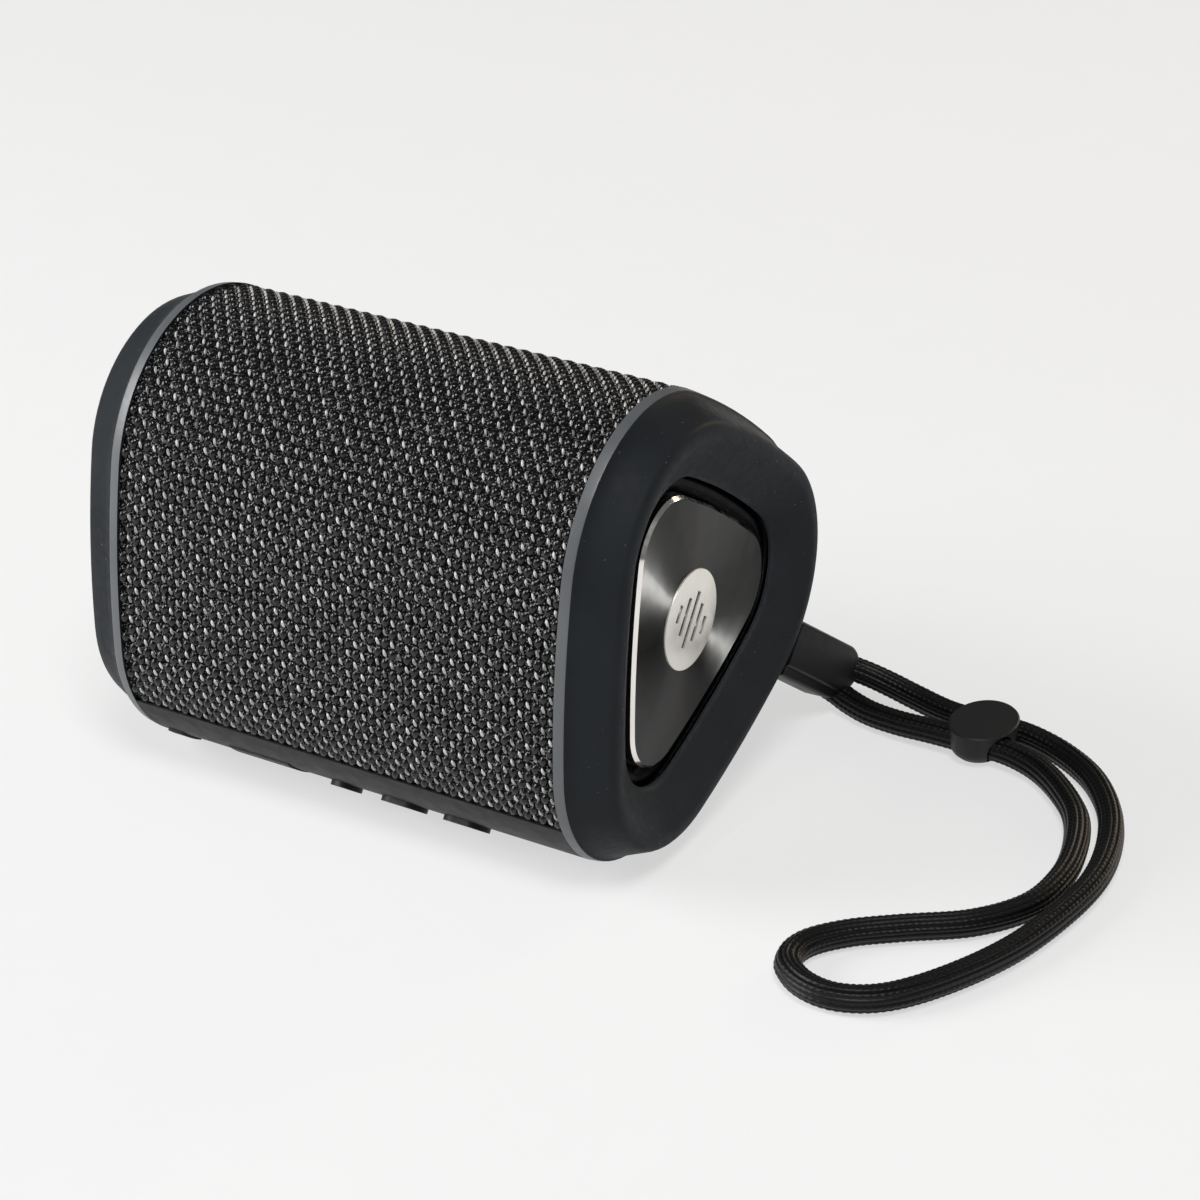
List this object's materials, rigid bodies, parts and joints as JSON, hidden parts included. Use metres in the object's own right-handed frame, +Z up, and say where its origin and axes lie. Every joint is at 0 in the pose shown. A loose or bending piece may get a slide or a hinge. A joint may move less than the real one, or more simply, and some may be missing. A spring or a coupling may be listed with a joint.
{
  "type": "shower speaker",
  "caption": "Pocket three-sided Bluetooth speaker in a woven sleeve, with rubber end caps, two passive radiators and a wrist strap.",
  "frame": {"origin": "on the floor, under the centre of the body with its caps (the strap is left out)", "axes": "+X along the body towards the cap that carries the strap, +Z up, +Y away from the side that stands nearly upright"},
  "size_m": [0.167, 0.0932, 0.0793],
  "materials": {
    "shell_plastic": "satin",
    "woven_fabric": "open woven mesh",
    "grille_steel": "matte",
    "strip_rubber": "matte",
    "button_rubber": "matte",
    "cap_rubber": "matte",
    "screw_steel": "plain",
    "surround_rubber": "satin",
    "spun_metal": "spun, with a polished edge",
    "weight_steel": "plain",
    "badge_metal": "satin",
    "cone_plastic": "matte",
    "coil_copper": "enamelled",
    "spider_cloth": "resin-stiffened",
    "magnet_ferrite": "matte",
    "contact_brass": "plain",
    "wire_red": "plain",
    "board_green": "solder mask",
    "module_can": "satin",
    "chip_black": "matte",
    "capacitor_blue": "sleeve",
    "socket_white": "matte",
    "cell_blue": "wrapped cell",
    "light_clear": "clear",
    "cable_white": "matte",
    "strap_rubber": "matte",
    "cord_braid": "round braid"
  },
  "bodies": {
    "speaker": {"body_shell": "shell_plastic", "fabric_sleeve": "woven_fabric", "driver_grille": "grille_steel", "control_strip": "strip_rubber", "end_cap_right": "cap_rubber", "end_cap_left": "cap_rubber", "end_plate_right": "shell_plastic", "end_plate_left": "shell_plastic", "end_screws_right": "screw_steel", "end_screws_left": "screw_steel", "radiator_surround_right": "surround_rubber", "radiator_surround_left": "surround_rubber", "driver_frame": "shell_plastic", "driver_gasket": "surround_rubber", "driver_screws": "screw_steel", "driver_surround": "surround_rubber", "spider": "spider_cloth", "top_plate": "weight_steel", "driver_magnet": "magnet_ferrite", "pole_piece": "weight_steel", "driver_terminals": "contact_brass", "driver_wires": "wire_red", "main_board": "board_green", "board_screws": "screw_steel", "bluetooth_module": "module_can", "amplifier_chip": "chip_black", "inductors": "magnet_ferrite", "capacitors": "capacitor_blue", "battery_socket": "socket_white", "battery_cell": "cell_blue", "battery_cradle": "shell_plastic", "battery_wires": "wire_red", "key_board": "board_green", "key_switches": "module_can", "usb_socket": "module_can", "microphone": "contact_brass", "status_light": "light_clear", "key_cable": "cable_white", "strap_pin": "screw_steel"},
    "power_button": {"power_button": "button_rubber"},
    "minus_button": {"minus_button": "button_rubber"},
    "plus_button": {"plus_button": "button_rubber"},
    "port_door": {"port_door": "strip_rubber"},
    "radiator_right": {"radiator_plate_right": "spun_metal", "radiator_weight_right": "weight_steel", "badge_right": "badge_metal"},
    "radiator_left": {"radiator_plate_left": "spun_metal", "radiator_weight_left": "weight_steel", "badge_left": "badge_metal"},
    "cone": {"driver_cone": "cone_plastic", "dust_cap": "cone_plastic", "voice_coil": "coil_copper"},
    "strap": {"strap_connector": "strap_rubber", "strap_cord": "cord_braid"},
    "slider": {"strap_slider": "strap_rubber"}
  },
  "joints": [
    {"name": "power_press", "type": "slide", "parent": "speaker", "child": "power_button", "axis": [0, 0.5736, 0.8191], "range_m": [0, 0.0005], "stiffness_N_per_m": 1500},
    {"name": "minus_press", "type": "slide", "parent": "speaker", "child": "minus_button", "axis": [0, 0.5736, 0.8191], "range_m": [0, 0.0005], "stiffness_N_per_m": 1500},
    {"name": "plus_press", "type": "slide", "parent": "speaker", "child": "plus_button", "axis": [0, 0.5736, 0.8191], "range_m": [0, 0.0005], "stiffness_N_per_m": 1500},
    {"name": "port_door_hinge", "type": "hinge", "parent": "speaker", "child": "port_door", "pos_m": [-0.02635, -0.02743, 0.00456], "axis": [0, 0.8191, -0.5736], "range_deg": [0, 110]},
    {"name": "radiator_right_slide", "type": "slide", "parent": "speaker", "child": "radiator_right", "axis": [1, 0, 0], "range_m": [-0.0015, 0.0015], "stiffness_N_per_m": 1200, "deforming": ["radiator_surround_right"]},
    {"name": "radiator_left_slide", "type": "slide", "parent": "speaker", "child": "radiator_left", "axis": [-1, 0, 0], "range_m": [-0.0015, 0.0015], "stiffness_N_per_m": 1200, "deforming": ["radiator_surround_left"]},
    {"name": "cone_slide", "type": "slide", "parent": "speaker", "child": "cone", "axis": [0, -0.9939, 0.1099], "range_m": [-0.0015, 0.0015], "stiffness_N_per_m": 1500, "deforming": ["driver_surround", "spider"]},
    {"name": "strap_hinge", "type": "hinge", "parent": "speaker", "child": "strap", "pos_m": [0.0452, 0.025, 0.0224], "axis": [1, 0, 0], "range_deg": [-45, 0]},
    {"name": "slider_slide", "type": "slide", "parent": "strap", "child": "slider", "axis": [1, 0, 0], "range_m": [-0.012, 0.006], "deforming": ["strap_cord"]}
  ]
}
